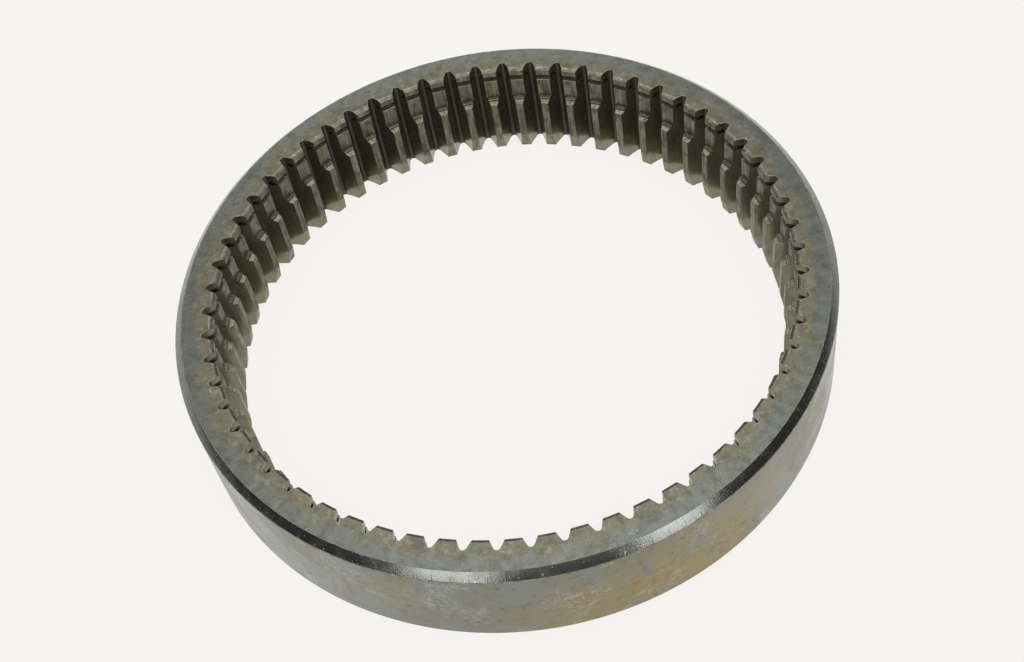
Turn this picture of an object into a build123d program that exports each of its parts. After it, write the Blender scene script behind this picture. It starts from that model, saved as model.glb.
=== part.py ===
from build123d import *

import os
from math import acos
from math import cos
from math import pi
from math import radians
from math import sin
from math import tan

# Internal ring gear of a planetary hub reduction, one turned and shaped steel ring.
# Units are millimetres. +Z is the ring's axis and z = 0 is its lower face, where the teeth run out
# through a tapered lead-in. The snap-ring groove is near the upper face. One tooth space lies on +X.

# ---------------------------------------------------------------- teeth
tooth_count = 62
gear_module = 3.5
pressure_angle = 22.5
crest_height = 3.5  # from the pitch circle in to the tooth crests
root_depth = 4.375  # from the pitch circle out to the bottom of a tooth space
root_rounding = 0.68  # depth of the rounded bottom of a tooth space
flank_points = 3

# ---------------------------------------------------------------- ring
face_width = 43.5  # overall height of the ring
rim_wall = 10.625  # solid metal behind the tooth spaces
rim_chamfer = 3.0

# ---------------------------------------------------------------- upper end, from the top face down
collar_width = 3.4  # the toothed lip that holds the snap ring in
collar_relief = 3.6  # how far the lip's crests stand back from the tooth crests
collar_chamfer_depth = 1.3
collar_chamfer_width = 0.8
groove_width = 2.2
groove_wall = 0.7  # how much shallower the groove is than the tooth spaces
land_width = 9.1  # cut-back crests that the hub plate's teeth slide along
land_relief = 3.3
seat_relief = 1.8  # inner edge of the flat shelf that the hub plate stops on
seat_riser = 0.9
seat_bevel_width = 0.6

# ---------------------------------------------------------------- lower end
lead_in_depth = 1.8
lead_in_width = 8.5

# ---------------------------------------------------------------- radii that follow
pitch_radius = gear_module * tooth_count / 2
base_radius = pitch_radius * cos(radians(pressure_angle))
crest_radius = pitch_radius - crest_height
root_radius = pitch_radius + root_depth
outer_radius = root_radius + rim_wall
collar_radius = crest_radius + collar_relief
groove_radius = root_radius - groove_wall
land_radius = crest_radius + land_relief
seat_radius = crest_radius + seat_relief

# ---------------------------------------------------------------- heights that follow
collar_z = face_width - collar_width
groove_z = collar_z - groove_width
seat_z = groove_z - land_width
riser_z = seat_z - seat_riser
tooth_top_z = riser_z - seat_bevel_width


def involute(angle):
    """Involute function of an angle in radians."""
    return tan(angle) - angle


def half_gap(radius):
    """Half the angle across the tooth space on +X, at a distance from the axis."""
    half_gap_at_pitch = pi / (2 * tooth_count)
    closing = involute(acos(base_radius / radius)) - involute(radians(pressure_angle))
    return half_gap_at_pitch - closing


def flank_point(radius):
    """The point of the +Y flank of that space, at a distance from the axis."""
    angle = half_gap(radius)
    return (radius * cos(angle), radius * sin(angle))


def flank_direction(radius):
    """The direction of that flank, outwards, leaning in by the pressure angle there."""
    angle = half_gap(radius) - acos(base_radius / radius)
    return (cos(angle), sin(angle))


# The space between two teeth: an involute flank each side and a rounded bottom.
# It starts inside the tooth crests, midway to the base circle, so the cut leaves no skin there.
mouth_radius = (crest_radius + base_radius) / 2
flank_end_radius = root_radius - root_rounding
flank_step = (flank_end_radius - mouth_radius) / (flank_points - 1)
flank_radii = [mouth_radius + flank_step * index for index in range(flank_points)]

with BuildSketch() as tooth_space:
    with BuildLine() as space_outline:
        upper_flank = Spline(
            *[flank_point(radius) for radius in flank_radii],
            tangents=[flank_direction(mouth_radius), flank_direction(flank_end_radius)],
        )
        lower_flank = mirror(upper_flank, about=Plane.XZ)
        Line(upper_flank @ 0, lower_flank @ 0)
        ThreePointArc(upper_flank @ 1, (root_radius, 0), lower_flank @ 1)
    make_face()

with BuildPart() as ring_gear:
    # The turned blank: chamfered rim, lip, snap-ring groove, land, shelf, teeth and lead-in.
    with BuildSketch(Plane.XZ) as blank:
        with BuildLine() as blank_outline:
            Polyline(
                (outer_radius - rim_chamfer, 0),
                (outer_radius, rim_chamfer),
                (outer_radius, face_width - rim_chamfer),
                (outer_radius - rim_chamfer, face_width),
                (collar_radius + collar_chamfer_depth, face_width),
                (collar_radius, face_width - collar_chamfer_width),
                (collar_radius, collar_z),
                (groove_radius, collar_z),
                (groove_radius, groove_z),
                (land_radius, groove_z),
                (land_radius, seat_z),
                (seat_radius, seat_z),
                (seat_radius, riser_z),
                (crest_radius, tooth_top_z),
                (crest_radius, lead_in_width),
                (crest_radius + lead_in_depth, 0),
                close=True,
            )
        make_face()
    revolve(axis=Axis.Z)

    # The tooth spaces run the whole height, through the lip as well.
    with BuildSketch(Plane.XY) as tooth_spaces:
        with PolarLocations(0, tooth_count):
            add(tooth_space.sketch)
    extrude(amount=face_width, mode=Mode.SUBTRACT)

ring_gear.part.label = "ring_gear"

os.makedirs("parts", exist_ok=True)
export_step(ring_gear.part, "parts/ring_gear.step")
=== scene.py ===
import math

import bmesh
import bpy
from mathutils import Matrix
from mathutils import Vector


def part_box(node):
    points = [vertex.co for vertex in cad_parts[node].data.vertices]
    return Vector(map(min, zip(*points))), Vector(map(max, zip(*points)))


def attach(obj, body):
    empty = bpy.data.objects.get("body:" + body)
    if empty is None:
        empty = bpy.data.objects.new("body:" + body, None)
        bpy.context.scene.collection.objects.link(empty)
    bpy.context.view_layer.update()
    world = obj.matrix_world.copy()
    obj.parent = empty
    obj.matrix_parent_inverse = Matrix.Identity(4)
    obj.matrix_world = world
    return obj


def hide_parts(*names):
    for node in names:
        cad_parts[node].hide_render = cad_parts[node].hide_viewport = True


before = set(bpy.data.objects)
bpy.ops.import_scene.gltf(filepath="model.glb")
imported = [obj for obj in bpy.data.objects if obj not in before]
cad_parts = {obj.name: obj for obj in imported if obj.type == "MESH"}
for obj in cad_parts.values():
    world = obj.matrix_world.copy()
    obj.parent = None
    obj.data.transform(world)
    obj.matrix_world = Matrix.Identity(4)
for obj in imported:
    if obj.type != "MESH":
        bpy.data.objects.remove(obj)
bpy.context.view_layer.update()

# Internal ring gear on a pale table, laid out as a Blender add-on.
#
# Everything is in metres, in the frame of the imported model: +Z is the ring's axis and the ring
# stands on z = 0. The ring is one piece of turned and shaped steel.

bl_info = {
    "name": "Internal ring gear",
    "version": (1, 0, 0),
    "blender": (4, 5, 0),
    "location": "3D View > Sidebar > Ring gear",
    "description": "Makes a planetary ring gear with worn steel finishes, and a plain stage",
    "category": "Object",
}

MM = 0.001
NODE = "ring_gear"
BODY = "root"
RING_LOW, RING_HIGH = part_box(NODE)
RING_HEIGHT = RING_HIGH.z - RING_LOW.z
RIM_RADIUS = (RING_HIGH.x - RING_LOW.x) / 2

# The ring's finishes, in the order of its material slots.
FINISHES = ["face", "chamfer", "rim", "flank", "crest", "shelf", "groove", "edge"]

# How finely the ring's mesh is drawn.
ROOT_STEPS = 3  # on half of a tooth space's rounded bottom
FLANK_STEP = 0.9 * MM  # longest along a flank
CREST_STEP = 0.65 * MM  # longest radial step where a crest slopes
LEAST_STEP = 0.1 * MM  # closer marks on a flank count as one
SAME_LENGTH = 1e-7
SAME_CREST = 1e-6
SEAM_GAP = 2e-6  # widest gap closed between two tooth pitches
SHARP_ANGLE = math.radians(33)  # edges that turn by more than this stay sharp

# Golden stains on the rim: bearing in degrees, height and size in millimetres, share of the colour.
STAINS = [
    (279, 11, 42, 1.0),
    (291, 17, 42, 1.0),
    (266, 9, 34, 0.8),
    (305, 24, 20, 0.5),
    (238, 26, 18, 0.5),
    (150, 18, 30, 0.7),
    (35, 26, 26, 0.7),
    (95, 14, 36, 0.6),
]

FLOOR_RADIUS = 12.0
FLOOR_TONE = "F9F7F3"
# Painted shade: the floor turns greyer far from the ring, for the light falling off with distance.
FAR_SHADE_TONE = "D3D1CC"
FADE_START = 0.38  # distance from the ring's axis where the floor starts to turn greyer
FADE_END = 1.1
GLOW_SHARE = 0.92  # of the floor's tone where the camera or a reflection sees it
HORIZON_LIGHT = 0.08
OVERHEAD_LIGHT = 0.6
SOFTBOX_DISTANCE = 2.0


def linear(hex_colour):
    """An sRGB hex value as linear red, green and blue."""
    parts = [int(hex_colour[start:start + 2], 16) / 255 for start in (0, 2, 4)]
    return tuple(c / 12.92 if c <= 0.04045 else ((c + 0.055) / 1.055) ** 2.4 for c in parts)


def length_property(name, description, millimetres):
    """A length setting, given in millimetres and kept in metres."""
    return bpy.props.FloatProperty(
        name=name, description=description, default=millimetres * MM, min=0.0,
        unit="LENGTH", precision=5,
    )


def colour_property(name, description, hex_colour):
    """A colour setting, given as an sRGB hex value and kept linear."""
    return bpy.props.FloatVectorProperty(
        name=name, description=description, default=linear(hex_colour), min=0.0, max=1.0,
        subtype="COLOR",
    )


class RingGearSizes(bpy.types.PropertyGroup):
    """Sizes of the teeth and of the turned section."""

    tooth_count: bpy.props.IntProperty(
        name="Teeth", description="Number of teeth", default=62, min=12,
    )
    gear_module: length_property("Module", "Pitch diameter over the number of teeth", 3.5)
    pressure_angle: bpy.props.FloatProperty(
        name="Pressure angle", description="Flank angle at the pitch circle",
        default=math.radians(22.5), subtype="ANGLE",
    )
    crest_height: length_property("Crest height", "From the pitch circle in to the crests", 3.5)
    root_depth: length_property("Root depth", "From the pitch circle out to the roots", 4.375)
    root_rounding: length_property("Root rounding", "Depth of a tooth space's rounded bottom", 0.68)
    rim_chamfer: length_property("Rim chamfer", "Chamfer of the rim at both faces", 3.0)
    collar_width: length_property("Lip width", "Toothed lip above the snap-ring groove", 3.4)
    collar_relief: length_property("Lip relief", "How far the lip's crests stand back", 3.6)
    collar_chamfer_depth: length_property("Lip chamfer depth", "Radial size of its chamfer", 1.3)
    collar_chamfer_width: length_property("Lip chamfer width", "Axial size of its chamfer", 0.8)
    groove_width: length_property("Groove width", "Width of the snap-ring groove", 2.2)
    land_width: length_property("Land width", "Cut-back crests below the groove", 9.1)
    land_relief: length_property("Land relief", "How far the land's crests stand back", 3.3)
    seat_relief: length_property("Seat relief", "Inner edge of the flat shelf", 1.8)
    seat_riser: length_property("Seat riser", "Small step below the shelf", 0.9)
    seat_bevel_width: length_property("Seat bevel", "Axial size of the slope below it", 0.6)
    lead_in_depth: length_property("Lead-in depth", "Radial size of the lower taper", 1.8)
    lead_in_width: length_property("Lead-in width", "Axial size of the lower taper", 8.5)
    edge_break: length_property("Edge break", "Width of the rounding along the turned edges", 0.3)


class RingGearFinish(bpy.types.PropertyGroup):
    """Colours of the steel's finishes."""

    face_steel: colour_property("Face steel", "Grey hardened face near the rim", "7A7E79")
    face_straw: colour_property("Face straw", "Straw heat tint near the teeth", "858271")
    chamfer_steel: colour_property("Chamfer steel", "Smooth turned chamfer", "7E807D")
    rim_steel: colour_property("Rim steel", "Grey skin of the rim", "7C7F7A")
    rim_olive: colour_property("Rim olive", "Dull olive film on the rim", "807E6C")
    rim_stain: colour_property("Rim stain", "Golden brown stain on the rim", "8F8159")
    flank_steel: colour_property("Flank steel", "Dark oiled tooth flanks", "7E7C67")
    crest_steel: colour_property("Crest steel", "Grey-brown turned crests", "56554A")
    # Painted light: the upward-facing steps take this paler steel as their base, for the light
    # falling on them; elsewhere it makes pale patches.
    pale_steel_and_step_light: colour_property("Shelf steel", "Paler cut steps", "A3A18E")
    # Painted shade: this dark colour stands in for the shade in the groove under the lip.
    groove_shade_steel: colour_property("Groove steel", "Oil-blackened groove", "3A3830")
    # Painted light: the lower ends of the teeth take this pale colour for light bounced up from the
    # table; on the crests it also makes pale streaks.
    pale_steel_and_bounce_light: colour_property("Run-in steel", "Pale lower ends of the teeth", "8F8D74")
    bare_steel: colour_property("Bare steel", "Bright metal in nicks and scuffs", "D6D4C8")
    # Also painted shade: it darkens the roots of the tooth spaces.
    dirt_and_root_shade: colour_property("Dirt", "Dried oil and dust", "3C3A30")


# ---------------------------------------------------------------- tooth form


def involute(angle):
    """Involute function of an angle in radians."""
    return math.tan(angle) - angle


class ToothForm:
    """Radii and outline of one tooth space, worked out from the sizes."""

    def __init__(self, sizes):
        self.pitch = 2 * math.pi / sizes.tooth_count
        self.pressure_angle = sizes.pressure_angle
        pitch_radius = sizes.gear_module * sizes.tooth_count / 2
        self.base_radius = pitch_radius * math.cos(self.pressure_angle)
        self.crest = pitch_radius - sizes.crest_height
        self.root = pitch_radius + sizes.root_depth
        self.flank_end = self.root - sizes.root_rounding

    def half_gap(self, radius):
        """Half the angle across a tooth space, at a distance from the axis."""
        closing = involute(math.acos(self.base_radius / radius)) - involute(self.pressure_angle)
        return self.pitch / 4 - closing

    def root_columns(self, count):
        """Angle and radius of points on the rounded bottom, from its middle to the flank."""
        angle = self.half_gap(self.flank_end)
        end_x = self.flank_end * math.cos(angle)
        end_y = self.flank_end * math.sin(angle)
        depth = self.root - end_x
        rounding = (depth ** 2 + end_y ** 2) / (2 * depth)
        centre = self.root - rounding
        sweep = math.asin(end_y / rounding)
        columns = []
        for index in range(count):
            turn = sweep * index / count
            x = centre + rounding * math.cos(turn)
            y = rounding * math.sin(turn)
            columns.append((math.atan2(y, x), math.hypot(x, y)))
        return columns


def toothed_profile(sizes, form):
    """The turned section of the toothed side, from the top down.

    Each corner is (height, crest radius, whether it is eased, finish of the stretch after it).
    """
    collar = form.crest + sizes.collar_relief
    land = form.crest + sizes.land_relief
    seat = form.crest + sizes.seat_relief
    entry_z = RING_HEIGHT - sizes.collar_chamfer_width
    collar_z = RING_HEIGHT - sizes.collar_width
    groove_z = collar_z - sizes.groove_width
    seat_z = groove_z - sizes.land_width
    riser_z = seat_z - sizes.seat_riser
    tooth_z = riser_z - sizes.seat_bevel_width
    return [
        (RING_HEIGHT, collar + sizes.collar_chamfer_depth, False, "edge"),
        (entry_z, collar, True, "crest"),
        (collar_z, collar, True, "groove"),
        (collar_z, form.flank_end, False, "groove"),
        (groove_z, form.flank_end, False, "shelf"),
        (groove_z, land, True, "crest"),
        (seat_z, land, False, "shelf"),
        (seat_z, seat, True, "crest"),
        (riser_z, seat, False, "shelf"),
        (tooth_z, form.crest, True, "crest"),
        (sizes.lead_in_width, form.crest, False, "crest"),
        (0.0, form.crest + sizes.lead_in_depth, False, "face"),
    ]


def rim_profile(sizes):
    """The turned section of the rim, from the bottom up, in the same form."""
    inner = RIM_RADIUS - sizes.rim_chamfer
    return [
        (0.0, inner, True, "chamfer"),
        (sizes.rim_chamfer, RIM_RADIUS, True, "rim"),
        (RING_HEIGHT - sizes.rim_chamfer, RIM_RADIUS, True, "chamfer"),
        (RING_HEIGHT, inner, True, "face"),
    ]


def eased(profile, size):
    """The profile with each eased corner cut to a narrow strip: (height, radius, finish after)."""
    points = []
    for index, (z, radius, is_eased, finish) in enumerate(profile):
        if not is_eased:
            points.append((z, radius, finish))
            continue
        corner = Vector((z, radius))
        for neighbour, strip in ((index - 1, "edge"), (index + 1, finish)):
            other = Vector(profile[neighbour % len(profile)][:2])
            away = (other - corner).normalized()
            place = corner + away * size
            points.append((place.x, place.y, strip))
    return points


def drawn_finely(points, longest):
    """Adds points on sloping stretches, so that a crest's edge follows the flank closely."""
    fine = []
    for (z, radius, finish), (next_z, next_radius, _) in zip(points, points[1:]):
        fall = next_z - z
        growth = next_radius - radius
        slopes = abs(fall) > SAME_LENGTH and abs(growth) > SAME_LENGTH
        pieces = math.ceil(abs(growth) / longest) if slopes else 1
        for piece in range(pieces):
            part = piece / pieces
            fine.append((z + fall * part, radius + growth * part, finish))
    return fine + [points[-1]]


def outline_columns(form, crests):
    """Columns round one tooth pitch as (angle, radius of the full tooth space)."""
    marks = sorted({round(crest, 7) for crest in crests} | {form.flank_end}, reverse=True)
    marks = [mark for mark in marks if form.crest <= mark <= form.flank_end]
    radii = []
    for outer, inner in zip(marks, marks[1:]):
        if outer - inner < LEAST_STEP:
            continue
        pieces = math.ceil((outer - inner) / FLANK_STEP)
        radii += [outer - (outer - inner) * index / pieces for index in range(pieces)]
    radii.append(form.crest)
    half = form.root_columns(ROOT_STEPS)
    half += [(form.half_gap(radius), radius) for radius in radii]
    crest_angle = form.half_gap(form.crest)
    half += [((crest_angle + form.pitch / 2) / 2, 0.0), (form.pitch / 2, 0.0)]
    return [(-angle, radius) for angle, radius in reversed(half[1:])] + half


def widened(outline, pitch, distance):
    """The outline of one pitch, moved into the metal by a distance, square to itself."""
    turn = Matrix.Rotation(pitch, 2)
    before = turn.inverted() @ outline[-2]
    after = turn @ outline[1]
    moved = []
    for previous, point, following in zip([before] + outline, outline, outline[1:] + [after]):
        first = (point - previous).normalized().orthogonal()
        second = (following - point).normalized().orthogonal()
        mitre = (first + second).normalized()
        moved.append(point - mitre * distance / max(0.5, mitre.dot(first)))
    return moved


def ring_rows(sizes, form):
    """Rows of points right round the section of one tooth pitch, each with its crest and finish."""
    toothed = eased(toothed_profile(sizes, form), sizes.edge_break / 2)
    toothed = drawn_finely(toothed, CREST_STEP)
    columns = outline_columns(form, [radius for _, radius, _ in toothed])
    rows = []

    def add_toothed_row(z, crest, finish, widening=0.0):
        outline = [Vector((math.cos(a), math.sin(a))) * max(radius, crest) for a, radius in columns]
        if widening:
            outline = widened(outline, form.pitch, widening)
        rows.append(([(*point, z) for point in outline], crest, finish))

    # The outline of the teeth is eased where it meets either face, in two narrow strips.
    ease = sizes.edge_break
    small = ease * (1 - math.sqrt(0.5))
    top_z, top_crest, top_finish = toothed[0]
    low_z, low_crest, low_finish = toothed[-1]
    entry = sizes.collar_chamfer_depth / sizes.collar_chamfer_width
    add_toothed_row(top_z, top_crest, "outline", ease)
    add_toothed_row(top_z - small, top_crest - small * entry, "outline", small)
    add_toothed_row(top_z - ease, top_crest - ease * entry, top_finish)
    for z, radius, finish in toothed[1:-1]:
        add_toothed_row(z, radius, finish)
    add_toothed_row(low_z + ease, low_crest, "outline")
    add_toothed_row(low_z + small, low_crest, "outline", small)
    add_toothed_row(low_z, low_crest, low_finish, ease)
    for z, radius, finish in eased(rim_profile(sizes), sizes.edge_break):
        points = [(radius * math.cos(a), radius * math.sin(a), z) for a, _ in columns]
        rows.append((points, None, finish))
    return columns, rows


def build_ring(sizes):
    """The ring's mesh: one tooth pitch drawn out row by row, then spun into the whole ring."""
    form = ToothForm(sizes)
    columns, rows = ring_rows(sizes, form)
    bm = bmesh.new()
    chain = [bm.verts.new(point) for point in rows[0][0]]
    for (_, crest, finish), (points, next_crest, _) in zip(rows, rows[1:] + rows[:1]):
        edges = [bm.edges.get(pair) or bm.edges.new(pair) for pair in zip(chain, chain[1:])]
        made = bmesh.ops.extrude_edge_only(bm, edges=edges)["geom"]
        fresh = {item for item in made if isinstance(item, bmesh.types.BMVert)}
        partners = []
        for vert in chain:
            others = [edge.other_vert(vert) for edge in vert.link_edges]
            partners.append(next(other for other in others if other in fresh))
        for partner, point in zip(partners, points):
            partner.co = point
        faces = [item for item in made if isinstance(item, bmesh.types.BMFace)]
        paint_strip(bm, faces, chain, partners, columns, (crest, next_crest), finish)
        chain = partners

    bmesh.ops.remove_doubles(bm, verts=bm.verts, dist=SAME_LENGTH)
    steps = sizes.tooth_count - 1
    bmesh.ops.spin(
        bm, geom=bm.verts[:] + bm.edges[:] + bm.faces[:], cent=(0, 0, 0), axis=(0, 0, 1),
        dvec=(0, 0, 0), angle=form.pitch * steps, steps=steps, use_duplicate=True,
    )
    bmesh.ops.remove_doubles(bm, verts=bm.verts, dist=SEAM_GAP)
    bmesh.ops.recalc_face_normals(bm, faces=bm.faces)
    for face in bm.faces:
        face.smooth = True
    for edge in bm.edges:
        edge.smooth = len(edge.link_faces) == 2 and edge.calc_face_angle() < SHARP_ANGLE
    return bm


def paint_strip(bm, faces, above, below, columns, crests, finish):
    """Gives a strip its finishes, after cutting each face that a crest's edge crosses."""
    if None in crests or finish in ("outline", "face"):
        for face in faces:
            face.material_index = FINISHES.index("edge" if finish == "outline" else finish)
        return
    side = {vert: (index, crests[0]) for index, vert in enumerate(above)}
    side.update({vert: (index, crests[1]) for index, vert in enumerate(below)})
    corners = set()
    crest_verts = set()
    for vert, (index, crest) in side.items():
        past_crest = columns[index][1] - crest
        if abs(past_crest) < SAME_CREST:
            corners.add(vert)
        if past_crest < SAME_CREST:
            crest_verts.add(vert)
    pieces = list(faces)
    for face in faces:
        cut = [vert for vert in face.verts if vert in corners]
        if len(cut) == 2 and not bm.edges.get(cut):
            pieces.append(bmesh.utils.face_split(face, cut[0], cut[1])[0])
    for face in pieces:
        on_crest = all(vert in crest_verts for vert in face.verts)
        face.material_index = FINISHES.index(finish if on_crest else "flank")


# ---------------------------------------------------------------- materials


def add_node(tree, kind, inputs=None, **settings):
    """Adds a node, sets its settings, and gives each input a value or a link."""
    node = tree.nodes.new(kind)
    for name, value in settings.items():
        setattr(node, name, value)
    for key, value in (inputs or {}).items():
        if isinstance(value, bpy.types.NodeSocket):
            tree.links.new(value, node.inputs[key])
        else:
            node.inputs[key].default_value = value
    return node


def new_material(name):
    """An empty node material."""
    material = bpy.data.materials.new(name)
    material.use_nodes = True
    material.node_tree.nodes.clear()
    return material


def ring_place(tree):
    """The point on the ring, its distance from the axis and its height, in metres."""
    point = add_node(tree, "ShaderNodeTexCoord").outputs["Object"]
    parts = add_node(tree, "ShaderNodeSeparateXYZ", {0: point}).outputs
    flat = add_node(tree, "ShaderNodeCombineXYZ", {0: parts[0], 1: parts[1]}).outputs[0]
    radius = add_node(tree, "ShaderNodeVectorMath", {0: flat}, operation="LENGTH").outputs["Value"]
    return point, radius, parts[2]


def patches(tree, point, size, low, high, stretch=(1, 1, 1), detail=4.0, swirl=0.0, shift=0.0,
            within=None):
    """A mask of patches some millimetres across, white where noise passes from low to high.

    It can be kept within the white of another mask.
    """
    scaled = add_node(tree, "ShaderNodeMapping", {
        "Vector": point, "Location": (shift,) * 3,
        "Scale": tuple(1 / (size * MM * drawn_out) for drawn_out in stretch),
    })
    noise = add_node(tree, "ShaderNodeTexNoise", {
        "Vector": scaled.outputs[0], "Scale": 1.0, "Detail": detail, "Distortion": swirl,
    })
    mask = add_node(tree, "ShaderNodeMapRange", {
        "Value": noise.outputs[0], "From Min": low, "From Max": high,
    }, interpolation_type="SMOOTHSTEP")
    if within is not None:
        inputs = {0: mask.outputs[0], 1: within}
        mask = add_node(tree, "ShaderNodeMath", inputs, operation="MULTIPLY")
    return mask.outputs[0]


def band(tree, value, centre, half_width, softness):
    """A mask that is white where a length lies within a band, with soft sides, in millimetres."""
    inputs = {0: value, 1: centre * MM}
    away = add_node(tree, "ShaderNodeMath", inputs, operation="SUBTRACT").outputs[0]
    away = add_node(tree, "ShaderNodeMath", {0: away}, operation="ABSOLUTE").outputs[0]
    mask = add_node(tree, "ShaderNodeMapRange", {
        "Value": away, "From Min": half_width * MM, "From Max": (half_width + softness) * MM,
        "To Min": 1.0, "To Max": 0.0,
    }, interpolation_type="SMOOTHSTEP")
    return mask.outputs[0]


def spot(tree, point, bearing, height, size, within):
    """A soft mask round one place on the rim, in degrees and millimetres, within another mask."""
    across = math.radians(bearing)
    centre = Vector((math.cos(across) * RIM_RADIUS, math.sin(across) * RIM_RADIUS, height * MM))
    away = add_node(tree, "ShaderNodeVectorMath", {0: point, 1: centre}, operation="DISTANCE")
    mask = add_node(tree, "ShaderNodeMapRange", {
        "Value": away.outputs["Value"], "From Max": size * MM, "To Min": 1.0, "To Max": 0.0,
    }, interpolation_type="SMOOTHSTEP")
    kept = add_node(tree, "ShaderNodeMath", {0: mask.outputs[0], 1: within}, operation="MULTIPLY")
    return kept.outputs[0]


def summed(tree, base, layers):
    """A value that starts at base and changes by each layer's amount where its mask is white."""
    value = base
    for mask, amount in layers:
        inputs = {0: mask, 1: amount, 2: value}
        value = add_node(tree, "ShaderNodeMath", inputs, operation="MULTIPLY_ADD").outputs[0]
    return value


def finish_material(tree, base, coats, roughness, raised, metallic=1.0):
    """Ends a material in a metal shader.

    Each coat is (mask, share, colour), laid over the ones before it. The roughness is a base value
    and (mask, change) pairs, and the relief is (mask, depth in millimetres) pairs.
    """
    colour = (*base, 1.0)
    for mask, share, coat in coats:
        part = add_node(tree, "ShaderNodeMath", {0: mask, 1: share}, operation="MULTIPLY")
        mixed = add_node(tree, "ShaderNodeMix", {
            0: part.outputs[0], 6: colour, 7: (*coat, 1.0),
        }, data_type="RGBA")
        colour = mixed.outputs[2]
    height = summed(tree, 0.0, [(mask, depth * MM) for mask, depth in raised])
    bump = add_node(tree, "ShaderNodeBump", {"Height": height, "Distance": 1.0})
    shader = add_node(tree, "ShaderNodeBsdfPrincipled", {
        "Base Color": colour, "Roughness": summed(tree, *roughness), "Metallic": metallic,
        "Normal": bump.outputs[0],
    })
    add_node(tree, "ShaderNodeOutputMaterial", {"Surface": shader.outputs[0]})


def face_material(finish):
    """Turned and tempered steel: satin grey outside and a ragged straw tint near the teeth."""
    material = new_material("tempered face steel")
    tree = material.node_tree
    point, radius, _ = ring_place(tree)
    ragged = patches(tree, point, 9.0, 0.3, 0.7, detail=6.0)
    tongues = patches(tree, point, 2.5, 0.3, 0.7, shift=3.0)
    tint_edge = summed(tree, radius, [(ragged, 4.0 * MM), (tongues, 1.8 * MM)])
    tint_radius = RIM_RADIUS / MM - 6.3
    inside = band(tree, tint_edge, 0.0, tint_radius, 2.2)
    dull = patches(tree, point, 3.0, 0.42, 0.7, detail=6.0, shift=7.0)
    pale = patches(tree, point, 2.6, 0.5, 0.72, detail=6.0, shift=11.0)
    pale_inside = add_node(tree, "ShaderNodeMath", {0: inside, 1: pale}, operation="MULTIPLY")
    fine = patches(tree, point, 1.0, 0.5, 0.75, shift=14.0)
    cloudy = patches(tree, point, 16.0, 0.4, 0.62, shift=13.0)
    golden = patches(tree, point, 5.0, 0.52, 0.7, shift=17.0, within=inside)
    specks = patches(tree, point, 0.5, 0.73, 0.78, detail=1.0, shift=19.0)
    clusters = patches(tree, point, 12.0, 0.62, 0.68, shift=29.0)
    scuffs = patches(tree, point, 0.9, 0.6, 0.66, swirl=1.0, shift=23.0, within=clusters)
    turned = patches(tree, point, 0.4, 0.3, 0.7, shift=31.0)
    coats = [
        (inside, 1.0, finish.face_straw),
        (cloudy, 0.4, finish.rim_olive),
        (golden, 0.5, finish.rim_stain),
        (dull, 0.45, finish.crest_steel),
        (pale_inside.outputs[0], 0.6, finish.pale_steel_and_step_light),
        (fine, 0.4, finish.crest_steel),
        (specks, 0.6, finish.bare_steel),
        (scuffs, 0.6, finish.bare_steel),
    ]
    raised = [(turned, 0.005), (pale, 0.006), (scuffs, 0.012)]
    finish_material(tree, finish.face_steel, coats, (0.32, [(inside, 0.1)]), raised)
    return material


def chamfer_material(finish):
    """Smooth turned steel: nearly a mirror, with fine chatter across the cut and a few nicks."""
    material = new_material("turned chamfer steel")
    tree = material.node_tree
    point, _, _ = ring_place(tree)
    grain = patches(tree, point, 0.45, 0.3, 0.7, detail=2.0)
    smears = patches(tree, point, 6.0, 0.4, 0.7, shift=5.0)
    grime = patches(tree, point, 0.6, 0.5, 0.75, shift=3.0)
    nicks = patches(tree, point, 1.1, 0.7, 0.73, detail=2.0, shift=9.0)
    coats = [(grime, 0.5, finish.dirt_and_root_shade), (nicks, 1.0, finish.bare_steel)]
    raised = [(grain, 0.009), (nicks, 0.02)]
    finish_material(tree, finish.chamfer_steel, coats, (0.16, [(smears, 0.1)]), raised)
    return material


def rim_material(finish):
    """Hardened skin of the rim: satin grey, with an olive film, golden stains and pale scuffs."""
    material = new_material("stained rim steel")
    tree = material.node_tree
    point, _, _ = ring_place(tree)
    film = patches(tree, point, 18.0, 0.42, 0.6, swirl=0.8)
    fine_film = patches(tree, point, 4.0, 0.42, 0.66, detail=3.0, shift=5.0)
    golden_edge = patches(tree, point, 8.0, 0.24, 0.54, swirl=0.6, shift=9.0)
    grime = patches(tree, point, 3.0, 0.52, 0.8, shift=33.0)
    pits = patches(tree, point, 1.2, 0.7, 0.76, shift=27.0)
    clusters = patches(tree, point, 14.0, 0.48, 0.62, shift=15.0)
    # The scuffs are thin lines, where one noise lies between two levels.
    over_low, over_high = (
        patches(tree, point, 6.0, level, level + 0.04, stretch=(1, 1, 0.5), swirl=1.6, detail=2.0,
                shift=21.0, within=clusters)
        for level in (0.47, 0.53))
    lines = add_node(tree, "ShaderNodeMath", {0: over_low, 1: over_high}, operation="SUBTRACT")
    scuffs = lines.outputs[0]
    stains = [
        (spot(tree, point, bearing, height, size, golden_edge), share, finish.rim_stain)
        for bearing, height, size, share in STAINS
    ]
    coats = [
        (film, 0.9, finish.rim_olive),
        (fine_film, 0.5, finish.face_steel),
        *stains,
        (grime, 0.45, finish.dirt_and_root_shade),
        (scuffs, 0.28, finish.bare_steel),
        (pits, 0.6, finish.dirt_and_root_shade),
    ]
    raised = [(fine_film, 0.005), (scuffs, 0.01), (pits, -0.018)]
    finish_material(tree, finish.rim_steel, coats, (0.26, [(film, 0.09)]), raised)
    return material


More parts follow.
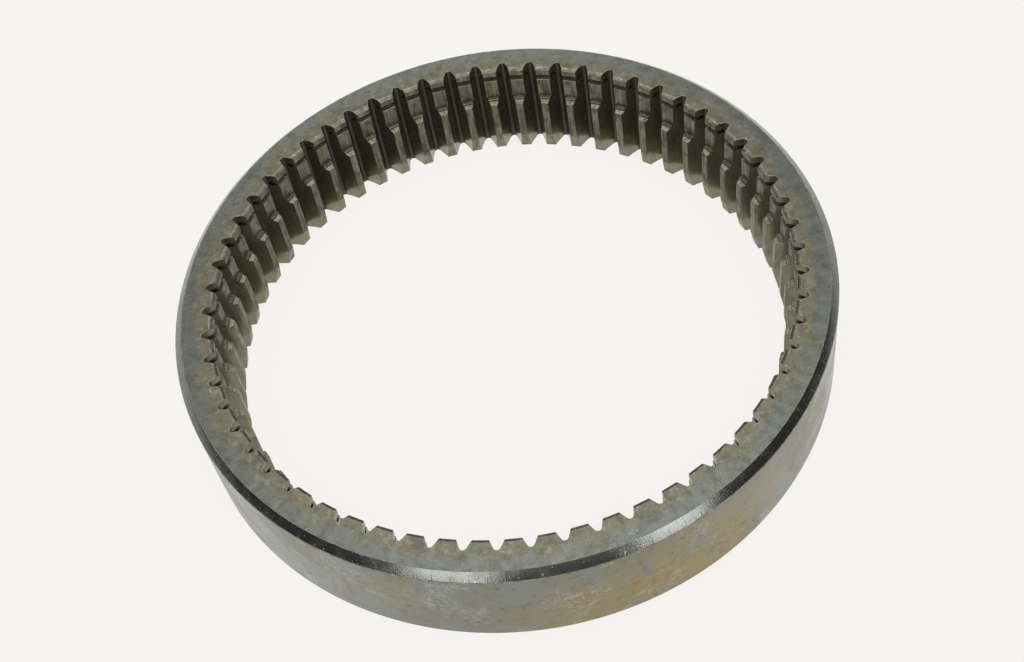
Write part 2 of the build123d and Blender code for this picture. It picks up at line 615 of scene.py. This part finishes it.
def flank_material(finish):
    """Shaped flanks under dried oil: dark olive, glossy, with marks along the cutter's stroke,
    painted shade in the roots and painted bounced light at the lower ends.
    """
    material = new_material("oiled flank steel")
    tree = material.node_tree
    point, radius, height = ring_place(tree)
    strokes = patches(tree, point, 0.8, 0.35, 0.7, stretch=(1, 1, 14), detail=2.0)
    film = patches(tree, point, 5.0, 0.4, 0.65, stretch=(1, 1, 2), shift=4.0)
    # Painted shade: the roots of the tooth spaces are darkened with the dirt colour.
    shaded_root = band(tree, radius, 113.0, 0.5, 1.0)
    # Painted light: the flanks' lower ends are paler, for light bounced up from the table.
    painted_bounce_band = band(tree, height, 0.0, 6.5, 2.0)
    coats = [
        (strokes, 0.3, finish.crest_steel),
        (film, 0.3, finish.dirt_and_root_shade),
        (painted_bounce_band, 0.5, finish.pale_steel_and_bounce_light),
        (shaded_root, 0.8, finish.dirt_and_root_shade),
    ]
    roughness = (0.2, [(film, 0.1), (shaded_root, 0.25)])
    finish_material(tree, finish.flank_steel, coats, roughness, [(strokes, 0.008)], metallic=0.85)
    return material


def crest_material(finish):
    """Turned crests: dull grey-brown, with dark and pale streaks along the teeth, and paler lower
    ends painted as light bounced up from the table.
    """
    material = new_material("turned crest steel")
    tree = material.node_tree
    point, _, height = ring_place(tree)
    streaks = patches(tree, point, 0.7, 0.35, 0.65, stretch=(1, 1, 16), detail=3.0)
    blots = patches(tree, point, 2.4, 0.45, 0.7, stretch=(1, 1, 2), shift=6.0)
    worn = patches(tree, point, 3.0, 0.5, 0.7, stretch=(1, 1, 3), shift=12.0)
    # Painted light: the crests' lower ends are paler, for light bounced up from the table.
    painted_bounce_band = band(tree, height, 0.0, 7.9, 0.8)
    coats = [
        (streaks, 0.4, finish.pale_steel_and_bounce_light),
        (worn, 0.3, finish.pale_steel_and_step_light),
        (painted_bounce_band, 0.55, finish.pale_steel_and_bounce_light),
        (blots, 0.55, finish.dirt_and_root_shade),
    ]
    finish_material(tree, finish.crest_steel, coats, (0.36, [(blots, 0.14)]), [(streaks, 0.01)])
    return material


def lit_shelf_material(finish):
    """Faced steps: paler than the crests as painted light on surfaces that face up, with dark smears
    of old oil.
    """
    material = new_material("faced step steel")
    tree = material.node_tree
    point, _, _ = ring_place(tree)
    smears = patches(tree, point, 1.3, 0.48, 0.68, detail=2.0)
    straw = patches(tree, point, 4.0, 0.45, 0.65, shift=5.0)
    coats = [(straw, 0.5, finish.face_straw), (smears, 0.55, finish.dirt_and_root_shade)]
    roughness = (0.4, [(smears, 0.055)])
    finish_material(tree, finish.pale_steel_and_step_light, coats, roughness, [(smears, 0.0066)], metallic=0.7)
    return material


def shaded_groove_material(finish):
    """Snap-ring groove, darkened as painted shade under the lip."""
    material = new_material("painted shade groove steel")
    tree = material.node_tree
    point, _, _ = ring_place(tree)
    film = patches(tree, point, 2.0, 0.4, 0.7)
    coats = [(film, 0.4, finish.crest_steel)]
    finish_material(tree, finish.groove_shade_steel, coats, (0.45, [(film, 0.15)]), [(film, 0.01)])
    return material


def edge_material(finish):
    """Eased edges and the entry chamfer: rubbed pale in places and dull between them."""
    material = new_material("rubbed edge steel")
    tree = material.node_tree
    point, _, _ = ring_place(tree)
    rubbed = patches(tree, point, 2.2, 0.42, 0.62, detail=6.0)
    bright = patches(tree, point, 1.6, 0.62, 0.7, shift=5.0)
    grime = patches(tree, point, 1.2, 0.55, 0.7, shift=9.0)
    coats = [
        (rubbed, 0.8, finish.pale_steel_and_step_light),
        (bright, 0.7, finish.bare_steel),
        (grime, 0.5, finish.dirt_and_root_shade),
    ]
    finish_material(tree, finish.face_straw, coats, (0.45, [(rubbed, -0.072)]), [(rubbed, 0.008)])
    return material


def ring_materials(finish):
    """The ring's finishes, in the order of FINISHES."""
    makers = [face_material, chamfer_material, rim_material, flank_material,
              crest_material, lit_shelf_material, shaded_groove_material, edge_material]
    return [maker(finish) for maker in makers]


# ---------------------------------------------------------------- operators


class RINGGEAR_OT_ring(bpy.types.Operator):
    """Makes the ring with its teeth and finishes"""

    bl_idname = "ring_gear.ring"
    bl_label = "Make the ring"

    def execute(self, context):
        bm = build_ring(context.scene.ring_gear_sizes)
        mesh = bpy.data.meshes.new("ring")
        bm.to_mesh(mesh)
        bm.free()
        ring = bpy.data.objects.new("toothed_ring", mesh)
        context.scene.collection.objects.link(ring)
        for material in ring_materials(context.scene.ring_gear_finish):
            mesh.materials.append(material)
        shading = ring.modifiers.new("weighted normals", "WEIGHTED_NORMAL")
        shading.keep_sharp = True
        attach(ring, BODY)
        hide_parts(NODE)
        return {"FINISHED"}


class RINGGEAR_OT_stage(bpy.types.Operator):
    """Makes the table, the studio light and the camera"""

    bl_idname = "ring_gear.stage"
    bl_label = "Make the stage"

    def execute(self, context):
        make_floor(context)
        make_world(context)
        make_lamps(context)
        make_camera(context)
        context.scene.view_settings.view_transform = "Standard"
        return {"FINISHED"}


def make_floor(context):
    """A wide pale table top that turns a little greyer far from the ring, as painted shade for the
    light falling off with distance.
    """
    bm = bmesh.new()
    bmesh.ops.create_circle(bm, cap_ends=True, segments=96, radius=FLOOR_RADIUS)
    mesh = bpy.data.meshes.new("table")
    bm.to_mesh(mesh)
    bm.free()
    floor = bpy.data.objects.new("table", mesh)
    context.scene.collection.objects.link(floor)
    material = new_material("pale table")
    tree = material.node_tree
    _, distance, _ = ring_place(tree)
    far = add_node(tree, "ShaderNodeMapRange", {
        "Value": distance, "From Min": FADE_START, "From Max": FADE_END,
    }, interpolation_type="SMOOTHSTEP").outputs[0]
    tone = add_node(tree, "ShaderNodeMix", {
        0: far, 6: (*linear(FLOOR_TONE), 1.0), 7: (*linear(FAR_SHADE_TONE), 1.0),
    }, data_type="RGBA").outputs[2]
    path = add_node(tree, "ShaderNodeLightPath").outputs
    seen = add_node(tree, "ShaderNodeMath", {0: path["Is Camera Ray"], 1: path["Is Glossy Ray"]},
                    operation="ADD", use_clamp=True).outputs[0]
    seen = add_node(tree, "ShaderNodeMath", {0: seen, 1: path["Is Transmission Ray"]},
                    operation="ADD", use_clamp=True).outputs[0]
    share = add_node(tree, "ShaderNodeMath", {0: seen, 1: GLOW_SHARE}, operation="MULTIPLY")
    matt = add_node(tree, "ShaderNodeBsdfDiffuse", {"Color": tone}).outputs[0]
    glow = add_node(tree, "ShaderNodeEmission", {"Color": tone, "Strength": 1.0}).outputs[0]
    mixed = add_node(tree, "ShaderNodeMixShader", {0: share.outputs[0], 1: matt, 2: glow}).outputs[0]
    add_node(tree, "ShaderNodeOutputMaterial", {"Surface": mixed})
    mesh.materials.append(material)


def make_world(context):
    """A studio that is dim at the horizon and bright overhead."""
    world = bpy.data.worlds.new("studio")
    context.scene.world = world
    world.use_nodes = True
    tree = world.node_tree
    tree.nodes.clear()
    coordinates = add_node(tree, "ShaderNodeTexCoord")
    parts = add_node(tree, "ShaderNodeSeparateXYZ", {0: coordinates.outputs["Generated"]})
    rise = add_node(tree, "ShaderNodeMapRange", {
        "Value": parts.outputs["Z"], "From Min": 0.2, "From Max": 0.8,
        "To Min": HORIZON_LIGHT, "To Max": OVERHEAD_LIGHT,
    }, interpolation_type="SMOOTHERSTEP")
    light = add_node(tree, "ShaderNodeBackground", {
        "Color": (1, 1, 1, 1), "Strength": rise.outputs[0],
    })
    add_node(tree, "ShaderNodeOutputWorld", {"Surface": light.outputs[0]})


def add_softbox(context, name, bearing, rise, width, height, radiance):
    """A softbox that faces the ring, with place and size in degrees, and radiance 1 for white."""
    data = bpy.data.lights.new(name, "AREA")
    data.shape = "RECTANGLE"
    data.size = 2 * SOFTBOX_DISTANCE * math.tan(math.radians(width / 2))
    data.size_y = 2 * SOFTBOX_DISTANCE * math.tan(math.radians(height / 2))
    data.energy = radiance * math.pi * data.size * data.size_y
    lamp = bpy.data.objects.new(name, data)
    context.scene.collection.objects.link(lamp)
    level = math.radians(bearing)
    up = math.radians(rise)
    away = Vector((math.cos(level) * math.cos(up), math.sin(level) * math.cos(up), math.sin(up)))
    lamp.location = away * SOFTBOX_DISTANCE
    lamp.rotation_mode = "QUATERNION"
    lamp.rotation_quaternion = away.to_track_quat("Z", "Y")


def make_lamps(context):
    """Two tall softboxes on the near side, a wide one overhead and a small one at the back."""
    add_softbox(context, "left softbox", -124, 32, 22, 30, 2.6)
    add_softbox(context, "right softbox", -62, 32, 18, 30, 3.0)
    add_softbox(context, "overhead softbox", 88, 77, 50, 26, 1.2)
    add_softbox(context, "back softbox", 86, 43, 22, 14, 1.1)


def make_camera(context):
    """Looks down on the ring from its near side, rolled a little."""
    data = bpy.data.cameras.new("camera")
    data.sensor_width = 36.0
    data.lens = 55.0
    camera = bpy.data.objects.new("camera", data)
    context.scene.collection.objects.link(camera)
    aim = Vector((-1.58 * MM, -24.85 * MM, RING_HEIGHT))
    bearing = math.radians(84.961)
    dip = math.radians(53.345)
    roll = math.radians(-11.454)
    distance = 564.7 * MM
    level = math.cos(dip)
    forward = Vector((math.cos(bearing) * level, math.sin(bearing) * level, -math.sin(dip)))
    turn = forward.to_track_quat("-Z", "Y").to_matrix().to_4x4()
    place = Matrix.Translation(aim - forward * distance)
    camera.matrix_world = place @ turn @ Matrix.Rotation(roll, 4, "Z")
    context.scene.camera = camera


class RINGGEAR_PT_panel(bpy.types.Panel):
    """Lists the pieces that can be made"""

    bl_label = "Ring gear"
    bl_space_type = "VIEW_3D"
    bl_region_type = "UI"
    bl_category = "Ring gear"

    def draw(self, context):
        self.layout.operator(RINGGEAR_OT_ring.bl_idname)
        self.layout.operator(RINGGEAR_OT_stage.bl_idname)


CLASSES = [RingGearSizes, RingGearFinish, RINGGEAR_OT_ring, RINGGEAR_OT_stage, RINGGEAR_PT_panel]


def register():
    """Registers the classes and the settings on the scene."""
    for item in CLASSES:
        bpy.utils.register_class(item)
    bpy.types.Scene.ring_gear_sizes = bpy.props.PointerProperty(type=RingGearSizes)
    bpy.types.Scene.ring_gear_finish = bpy.props.PointerProperty(type=RingGearFinish)


def unregister():
    """Takes them away again."""
    del bpy.types.Scene.ring_gear_finish
    del bpy.types.Scene.ring_gear_sizes
    for item in reversed(CLASSES):
        bpy.utils.unregister_class(item)


def main():
    """Registers the settings and makes every piece in order."""
    register()
    bpy.ops.ring_gear.ring()
    bpy.ops.ring_gear.stage()


if __name__ == "__main__":
    main()
